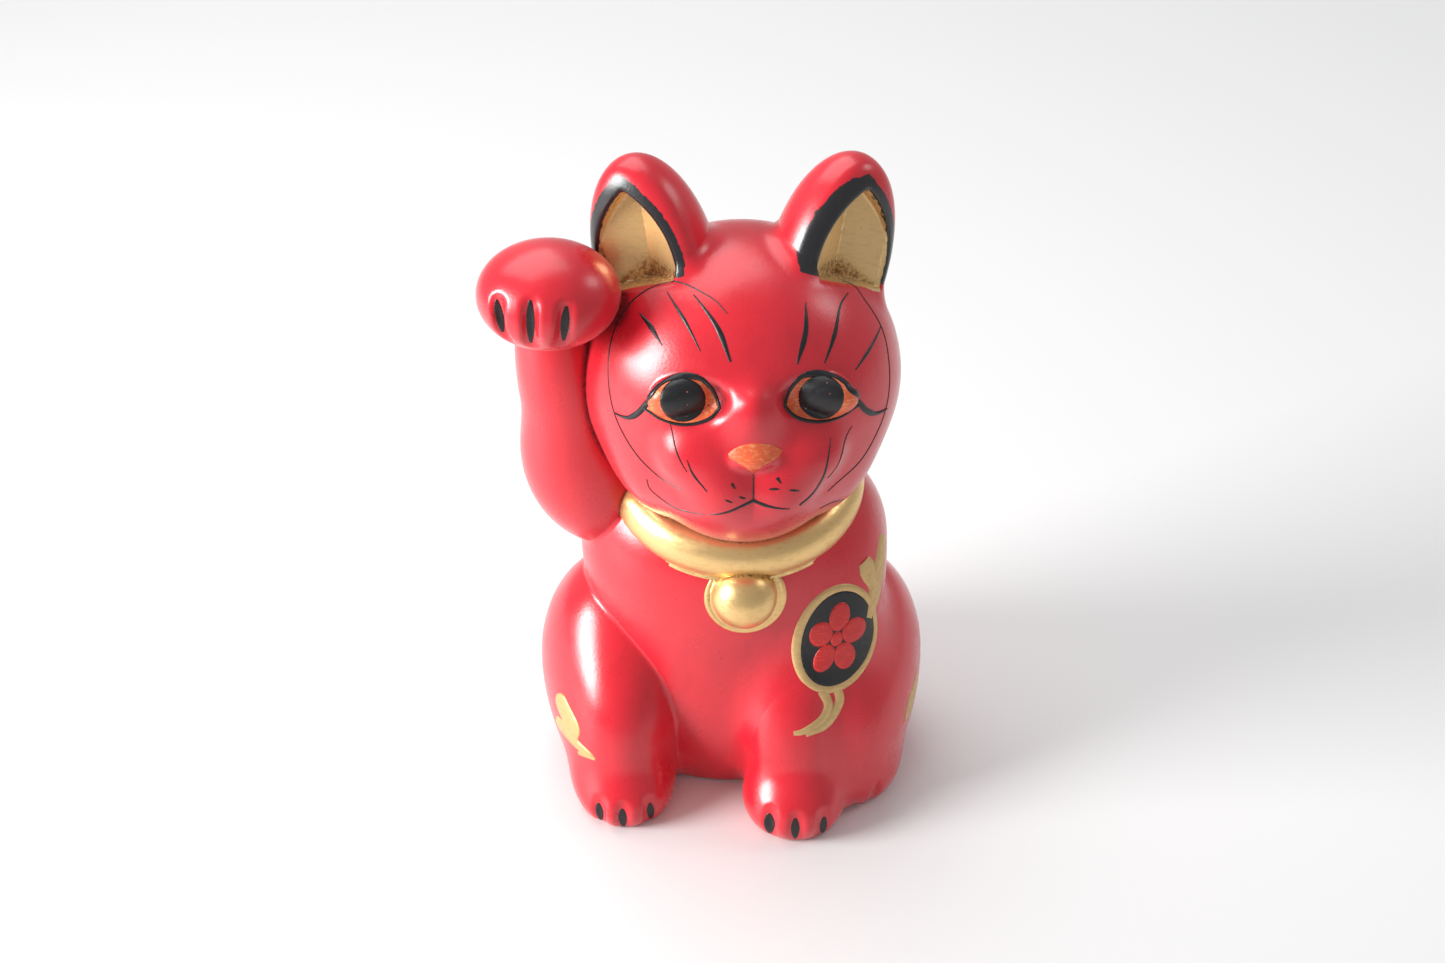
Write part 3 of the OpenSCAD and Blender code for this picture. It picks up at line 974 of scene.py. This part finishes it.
def brush_strokes(name, tree, surface, field, strokes, material, relief=0.16):
    """One piece of tapered strokes; each stroke is its points near the surface and its widths along it."""
    points, edges, outs, halves = [], [], [], []
    for path, widths in strokes:
        path, share = bowed(path, 0.4)
        path = settle(field, path, 3.0, 6)
        first = len(points)
        points += list(path)
        edges += [(first + i, first + i + 1) for i in range(len(path) - 1)]
        outs += list(unit(slopes(field, path, 0.4)))
        half = np.interp(share, np.linspace(0, 1, len(widths)), np.array(widths, float) / 2)
        halves += list(np.maximum(half, 0.05) * MM)
    mesh = bpy.data.meshes.new(name)
    mesh.from_pydata(to_frame(points).tolist(), edges, [])
    mesh.attributes.new("path_out", "FLOAT_VECTOR", "POINT").data.foreach_set("vector", np.ravel(outs))
    mesh.attributes.new("half_width", "FLOAT", "POINT").data.foreach_set("value", np.array(halves))
    piece = bpy.data.objects.new(name, mesh)
    bpy.context.scene.collection.objects.link(piece)
    brush = piece.modifiers.new("brush", "NODES")
    brush.node_group = tree
    sockets = {item.name: item.identifier for item in tree.interface.items_tree if item.in_out == "INPUT"}
    brush[sockets["Surface"]] = surface
    brush[sockets["Relief"]] = relief * MM
    brush[sockets["Sink"]] = 0.4 * MM
    brush[sockets["Profile Points"]] = 12
    brush[sockets["Paint"]] = material
    made = bpy.data.meshes.new_from_object(piece.evaluated_get(bpy.context.evaluated_depsgraph_get()))
    piece.modifiers.remove(brush)
    piece.data = made
    made.name = name
    for polygon in made.polygons:
        polygon.use_smooth = True
    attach(piece, CAT)
    return piece


# --------------------------------------------------------------------------------------------------
# The pieces
# --------------------------------------------------------------------------------------------------


def ear_marks(p):
    """Signed distances to the edges of the ears' gold and black paint, in millimetres."""
    q = both(p)
    middle, out, side, up = ear_face_frame()
    u, v, forward = (q - middle) @ side, (q - middle) @ up, (q - middle) @ out
    above_floor = v - ear_floor(u)
    mouth = ear_mouth(q)
    on_ear = np.where(p[:, 2] > 126, -20.0, 20.0)
    gold = np.maximum.reduce([mouth - 0.2, forward - 1.2, -1.2 - above_floor, -8 - forward, on_ear])
    inner, outer = np.where(p[:, 0] > 0, 5.0, 2.9), np.where(p[:, 0] > 0, 2.6, 3.6)
    width = inner + (outer - inner) * np.clip(u / 8 - 0.2, 0, 1)
    black = np.maximum.reduce([0.1 - mouth, mouth - width, -3.6 - forward, 0.6 - above_floor, on_ear])
    return {"gold_edge": gold, "black_edge": black, "bare": bareness(face, p)}


def bareness(outer, p):
    """1 on the walls of the hollow inside and on the foot rim, which have no glaze, and 0 elsewhere."""
    deep = np.clip(-outer(p) - 1.5, 0, 1)
    return np.maximum(deep, np.clip(1.5 - p[:, 2] / 0.4, 0, 1))


def on_floor(part):
    """A part cut off just above the floor, with a rounded edge, and kept out of the hollow body."""
    return lambda p: common(common(part(p), 0.1 - p[:, 2], 1.0), -trunk(p) - 3.5, 0.5)


def one_ear(hand):
    """One ear, down to its root inside the head's wall."""
    return lambda p: common(common(ears(p), -hand * p[:, 0], 0.1), -face(p) - 3.0, 0.5)


def body_marks(p):
    """Where the body shows bare clay."""
    return {"bare": bareness(seat, p)}


def make_castings(red, head_red):
    """The red castings, each from its field, the corners of a box around it and a cell size."""
    for name, field, low, high, cell, coat_paint, marks in (
            ("head", head_casting, (-44, -50, 70), (44, 36, 176), 0.75, head_red, ear_marks),
            ("left_ear_shell", one_ear(1), (2, -24, 118), (42, 24, 176), 0.5, head_red, ear_marks),
            ("right_ear_shell", one_ear(-1), (-42, -24, 118), (-2, 24, 176), 0.5, head_red, ear_marks),
            ("body", body_casting, (-54, -54, -2), (54, 50, 96), 0.95, red, body_marks),
            ("raised_leg", raised_leg, (-68, -34, 60), (-18, 18, 162), 0.6, red, None),
            ("standing_leg", on_floor(standing_leg), (-4, -52, -2), (42, 8, 82), 0.6, red, None),
            ("right_hind_foot", on_floor(right_hind_paw), (-44, -44, -2), (-12, -8, 18), 0.5, red, None),
            ("left_hind_foot", on_floor(left_hind_paw), (14, -38, -2), (46, -2, 18), 0.5, red, None),
            ("tail_curl", on_floor(tail), (-12, 24, -2), (28, 50, 28), 0.6, red, None)):
        cast_piece(name, field, low, high, cell, coat_paint, marks)


# --------------------------------------------------------------------------------------------------
# The painted face, claws and ornaments
# --------------------------------------------------------------------------------------------------

EYE_X, EYE_Z = 16.0, 128.6


def eye_points(side, pairs):
    """Places of an eye's marks, from pairs outwards and upwards from the pupil in the brush's view."""
    back, right, up = (np.array(v) for v in directions(0, 36))
    middle = on_face([(FACE_X - 0.4 + side * EYE_X, EYE_Z)])[0]
    return cast_down(face, middle + np.array([side * u * right + v * up for u, v in pairs]), BRUSH_FROM)


def eye_pieces(name, side, tree, head, black, pupil, iris):
    """An eye: orange iris, big black pupil, thick upper lid with its tail, and thin lower lid."""
    upper = [(9.0, -1.8), (7.0, 1.2), (4.8, 3.2), (2.4, 4.4), (-0.4, 4.8), (-3.6, 4.5), (-6.0, 2.7),
             (-7.6, 0.4), (-8.4, -2.4)]
    lower = [(-8.4, -2.4), (-6.4, -4.4), (-3.4, -5.5), (0.2, -5.8), (4.2, -4.8), (9.0, -1.8)]
    opening = eye_points(side, outline(upper, lower))
    paint_piece(name + "_iris", [film(face, opening, 0.08, 0.5)], iris)
    disc = eye_points(side, oval((0, -0.3), 5.3, 5.0))
    paint_piece(name + "_pupil", [film(face, disc, 0.16, 0.5)], pupil)
    tail_and_lid = [(16.2, -2.6), (14.6, -3.5), (12.8, -3.9), (10.8, -3.1), (8.9, -1.3), (7.4, 1.0),
                    (5.4, 3.2), (2.6, 4.7), (-0.4, 5.2), (-3.4, 4.9)]
    strokes = [
        (eye_points(side, tail_and_lid), [0.15, 0.9, 1.7, 1.7, 1.9, 2.3, 2.4, 2.3, 2.0, 1.8]),
        (eye_points(side, [(-2.4, 5.1), (-4.6, 4.3), (-6.4, 2.6), (-7.8, 0.2), (-8.5, -2.6)]),
         [1.6, 1.5, 1.2, 1.0, 1.1]),
        (eye_points(side, [(-8.4, -2.3), (-6.5, -4.4), (-3.5, -5.6), (0.2, -5.9), (4.2, -4.9),
                           (9.4, -1.7)]),
         [1.2, 1.1, 0.9, 0.9, 0.9, 0.7]),
    ]
    brush_strokes(name + "_lids", tree, head, face, strokes, black, 0.40)


def face_lines(tree, head, black):
    """Brows, the line round the face, cheek lines, whisker dots and mouth."""
    brows = [
        ([(-25.0, 141.2), (-22.6, 140.3), (-20.0, 138.0)], [0.5, 1.9, 0.3]),
        ([(-18.6, 146.3), (-14.6, 143.2), (-11.4, 138.9)], [0.3, 1.3, 0.3]),
        ([(-12.6, 147.5), (-7.4, 143.4), (-4.6, 137.6)], [0.3, 1.1, 1.9, 0.8]),
        ([(13.2, 146.2), (13.0, 141.8), (10.8, 136.4)], [0.3, 1.6, 2.0, 0.6]),
        ([(24.0, 143.8), (21.6, 143.2), (20.0, 139.6), (17.4, 135.2)], [0.3, 0.9, 1.7, 0.5]),
        ([(32.2, 134.6), (28.6, 133.2), (25.0, 131.2)], [0.25, 1.0, 1.4, 0.4]),
    ]
    arcs = [
        ([(-5.2, 145.8), (-9.0, 147.8), (-17.9, 147.6), (-26.2, 142.1), (-30.9, 135.2), (-32.4, 127.7),
          (-30.9, 118.1), (-26.5, 110.6), (-21.0, 106.1), (-15.7, 105.0)],
         [0.3, 0.5, 0.6, 0.6, 0.5, 0.6, 0.4]),
        ([(22.7, 146.2), (27.7, 141.2), (32.4, 134.0), (34.1, 126.8), (33.9, 118.7), (31.6, 111.9),
          (27.2, 106.0), (19.2, 101.8)], [0.2, 0.5, 0.55, 0.5, 0.6, 0.7, 0.3]),
    ]
    cheeks = [
        ([(-18.4, 122.0), (-17.0, 115.4), (-14.4, 109.9)], [0.15, 0.5, 0.6, 0.2]),
        ([(-14.4, 113.0), (-12.8, 109.4), (-9.8, 106.2)], [0.25, 0.9, 0.4]),
        ([(-23.6, 103.6), (-22.3, 100.4), (-16.8, 98.5), (-10.2, 99.8)], [0.3, 0.5, 0.6, 0.2]),
        ([(19.0, 117.3), (18.6, 111.2), (16.1, 104.5), (12.0, 101.6)], [0.25, 0.8, 1.4, 1.1]),
        ([(24.4, 118.3), (22.2, 112.0), (18.8, 106.0)], [0.2, 0.6, 0.3]),
        ([(17.5, 96.6), (21.2, 95.6), (24.2, 93.0)], [0.3, 0.6, 0.2]),
    ]
    mouth = [
        ([(-9.0, 100.2), (-5.6, 101.4), (-2.0, 103.4), (0.9, 105.0)], [0.3, 0.8, 1.1, 1.3]),
        ([(0.9, 105.0), (3.6, 103.6), (6.4, 102.4), (9.6, 101.4)], [1.3, 1.4, 0.9, 0.3]),
        ([(0.9, 111.4), (0.9, 107.8), (0.9, 105.2)], [0.25, 0.4, 0.5]),
    ]
    dots = [
        ([(-4.2, 109.0), (-3.4, 107.8)], [1.1, 0.5]),
        ([(6.4, 110.0), (7.3, 108.5)], [1.3, 0.5]),
        ([(-2.4, 105.9), (-1.0, 105.5)], [0.4, 0.9, 0.4]),
        ([(-5.6, 104.9), (-4.0, 104.3)], [0.4, 0.9, 0.4]),
        ([(4.6, 107.5), (6.9, 107.2)], [0.4, 1.0, 0.5]),
        ([(9.4, 106.4), (11.8, 105.6)], [0.5, 1.0, 0.3]),
    ]
    for name, strokes in (("brow_lines", brows), ("face_ring_lines", arcs), ("cheek_lines", cheeks),
                          ("mouth_lines", mouth), ("whisker_dots", dots)):
        placed = [(on_face(path), widths) for path, widths in strokes]
        brush_strokes(name, tree, head, face, placed, black, 0.14)


def nose_patch(orange):
    """The orange nose: a wide rounded triangle, point down."""
    edge = outline([(0.9, 111.6), (-1.6, 113.4), (-4.6, 115.2), (-5.0, 116.4)],
                   [(-5.0, 116.4), (-3.0, 118.2), (0.8, 119.2), (5.0, 118.6), (7.6, 116.8)],
                   [(7.6, 116.8), (6.6, 115.0), (3.4, 113.2), (0.9, 111.6)])
    paint_piece("nose_patch", [film(face, on_face(edge), 0.14, 0.5)], orange)


def claw(field, top, tip, width):
    """A lens-shaped claw mark in the groove between two toes."""
    top, tip = np.array(top, float), np.array(tip, float)
    share = np.linspace(0, 1, 12)[:, None]
    middle = top + (tip - top) * share
    half = width / 2 * np.sin(np.clip(share * 0.86 + 0.07, 0, 1) * math.pi) ** 0.8
    edge = np.concatenate([middle + [1, 0, 0] * half, (middle - [1, 0, 0] * half)[::-1]])
    return film(field, cast_down(field, edge, BRUSH_FROM), 0.10, 0.4)


def claw_pieces(black):
    sets = {
        "raised_paw_claws": (raised_leg, [((-58.0, -22.4, 148.6), (-56.8, -23.0, 140.2), 2.0),
                                          ((-50.2, -26.0, 150.6), (-50.3, -26.8, 139.6), 2.0),
                                          ((-42.0, -26.8, 149.4), (-42.8, -27.6, 140.6), 2.0)]),
        "right_hind_claws": (right_hind_paw, [((-35.6, -38.2, 7.4), (-34.9, -37.8, 1.2), 2.0),
                                              ((-29.6, -40.6, 7.4), (-29.3, -40.8, 1.4), 2.2),
                                              ((-22.4, -38.6, 7.4), (-22.2, -38.6, 2.0), 1.9)]),
        "left_hind_claws": (left_hind_paw, [((29.7, -34.0, 7.6), (30.4, -33.0, 1.6), 1.9),
                                            ((35.6, -32.4, 7.4), (35.3, -32.6, 3.4), 1.6)]),
        "forepaw_claws": (standing_leg, [((7.4, -45.2, 9.0), (7.8, -45.2, 2.2), 2.8),
                                         ((13.9, -47.4, 9.2), (14.1, -47.4, 2.2), 2.2),
                                         ((21.4, -45.8, 8.0), (21.2, -45.8, 2.2), 1.9)]),
    }
    for name, (field, marks) in sets.items():
        paint_piece(name, [claw(field, *mark) for mark in marks], black)


def coat(p):
    """The body's outside, on which its ornaments are painted."""
    return join(join(trunk(p), haunches(p), 0.8), standing_leg(p), 7)


def laid(points):
    """Points slid along the brush's direction onto the coat."""
    return cast_down(coat, np.array(points, float), BRUSH_FROM)


MEDALLION_AT = np.array([24.2, -27.5, 51.0])
MEDALLION_SIDE, MEDALLION_UP = np.array([0.82, 0.50, -0.26]), np.array([0.10, 0.32, 0.94])


def on_medallion(flat):
    """Points on the coat, from pairs sideways and upwards from the medallion's middle."""
    return laid(MEDALLION_AT + flat[:, :1] * MEDALLION_SIDE + flat[:, 1:] * MEDALLION_UP)


def petals(count=5, reach=9.6, width=3.3):
    """The petals of a plain blossom, as closed ovals about the medallion's middle."""
    loops = []
    for k in range(count):
        turn = 90 + 360 * k / count
        a = math.radians(turn)
        middle = (reach * 0.58 * math.cos(a), reach * 0.62 * math.sin(a))
        loops.append(on_medallion(oval(middle, reach * 0.40, width, turn, 26)))
    return loops


def medallion_edge(across, along, turn=12.0, count=48):
    """An oval round the medallion's middle, on the chest's slope."""
    return on_medallion(oval((0, 0), across, along, turn, count))


def ornaments(tree, body, gold, black, crimson):
    """The medallion with its blossom, gold ring and bands, and the haunches' gold leaves."""
    paint_piece("medallion_ground", [film(coat, medallion_edge(12.0, 12.9), 0.10, 0.7)], black)
    blossom = [film(coat, loop, 0.22, 0.6) for loop in petals()]
    heart = film(coat, medallion_edge(1.9, 2.0, 0, 24), 0.24, 0.5)
    paint_piece("medallion_blossom", blossom + [heart], crimson)
    ring = medallion_edge(12.6, 13.6)
    ring = np.concatenate([ring, ring[:2]])
    strokes = [
        (ring, [2.6, 2.2, 2.9, 3.1, 2.6, 2.3, 2.6]),
        (laid([(20.6, -32.6, 38.5), (22.4, -33.4, 34.4), (20.7, -35.4, 31.4), (16.0, -37.4, 29.4),
               (13.4, -38.4, 29.6)]),
         [3.4, 2.9, 3.2, 3.4, 2.6, 1.6]),
        (laid([(24.8, -31.6, 38.0), (25.2, -32.0, 34.0), (22.0, -35.6, 30.4), (16.4, -37.9, 29.0)]),
         [2.8, 3.0, 3.2, 2.6]),
        (laid([(32.6, -22.6, 53.6), (34.2, -19.6, 58.5), (35.6, -15.6, 64.0), (36.6, -11.0, 70.5)]),
         [3.4, 6.5, 7.5, 7.5, 6.0]),
        (laid([(34.0, -19.6, 60.0), (33.0, -19.6, 64.0), (31.8, -19.8, 67.4), (31.0, -19.8, 69.4)]),
         [3.4, 4.4, 6.2, 6.6, 4.6]),
    ]
    brush_strokes("medallion_ring", tree, body, coat, strokes, gold, 0.32)
    leaf = outline(
        [(-44.2, -22.5, 21.7), (-45.2, -20.1, 22.5), (-46.0, -17.8, 24.4), (-45.5, -18.3, 27.2),
         (-44.0, -20.8, 28.8), (-42.5, -24.0, 27.6), (-40.6, -27.6, 25.6), (-39.9, -29.0, 23.4),
         (-40.5, -28.8, 20.5)],
        [(-40.5, -28.8, 20.5), (-37.2, -32.4, 19.3), (-35.6, -33.6, 17.0), (-36.8, -32.6, 14.2),
         (-39.4, -29.8, 13.2), (-41.0, -28.0, 15.1), (-40.2, -29.3, 17.4)],
        [(-40.2, -29.3, 17.4), (-43.3, -24.2, 17.1), (-45.8, -17.8, 16.8), (-45.6, -19.3, 20.6),
         (-44.2, -22.5, 21.7)])
    paint_piece("right_haunch_leaf", [film(coat, leaf, 0.14, 0.8)], gold)
    strip = outline([(47.2, -12.0, 29.2), (45.8, -17.4, 27.0), (44.2, -22.0, 25.0), (43.0, -24.6, 20.6)],
                    [(43.0, -24.6, 20.6), (44.8, -20.4, 20.0), (46.6, -15.6, 22.0), (47.2, -12.0, 29.2)])
    paint_piece("left_haunch_leaf", [film(coat, strip, 0.14, 0.8)], gold)


# --------------------------------------------------------------------------------------------------
# The scene
# --------------------------------------------------------------------------------------------------

make_camera()
make_stage()
red_coat, gold_coat = make_red(), make_gold()
black_paint, brush_gold = make_black(), make_flat_gold()
make_castings(red_coat, make_head_red())
cast_piece("collar_band", collar, (-44, -40, 66), (44, 38, 98), 0.6, gold_coat)
cast_piece("bell_dome", bell, (-14, -44, 52), (14, -18, 80), 0.45, gold_coat)
cast_piece("rubber_stopper", stopper, (-16, -16, -2), (16, 16, 12), 0.5, make_rubber(),
           None, STOPPER)
head_piece, body_piece = bpy.data.objects["head"], bpy.data.objects["body"]
brush = stroke_tree()
iris_paint, pupil_paint = make_orange("iris_orange", ORANGE, ORANGE_PALE), make_pupil()
for eye, hand in (("left_eye", 1), ("right_eye", -1)):
    eye_pieces(eye, hand, brush, head_piece, black_paint, pupil_paint, iris_paint)
face_lines(brush, head_piece, black_paint)
nose_patch(make_orange("nose_orange", ORANGE, ORANGE_PALE))
claw_pieces(black_paint)
crimson_paint = make_orange("blossom_red", CRIMSON, CRIMSON_PALE)
ornaments(brush, body_piece, brush_gold, black_paint, crimson_paint)
STANDS_FOR = {
    "head": "head_casting", "left_ear_shell": "left_ear", "right_ear_shell": "right_ear",
    "body": "body_casting", "raised_leg": "raised_foreleg", "standing_leg": "standing_foreleg",
    "right_hind_foot": "right_hind_paw", "left_hind_foot": "left_hind_paw", "tail_curl": "tail",
    "collar_band": "collar", "bell_dome": "bell", "rubber_stopper": "stopper",
}
for piece, node in STANDS_FOR.items():
    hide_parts(node)
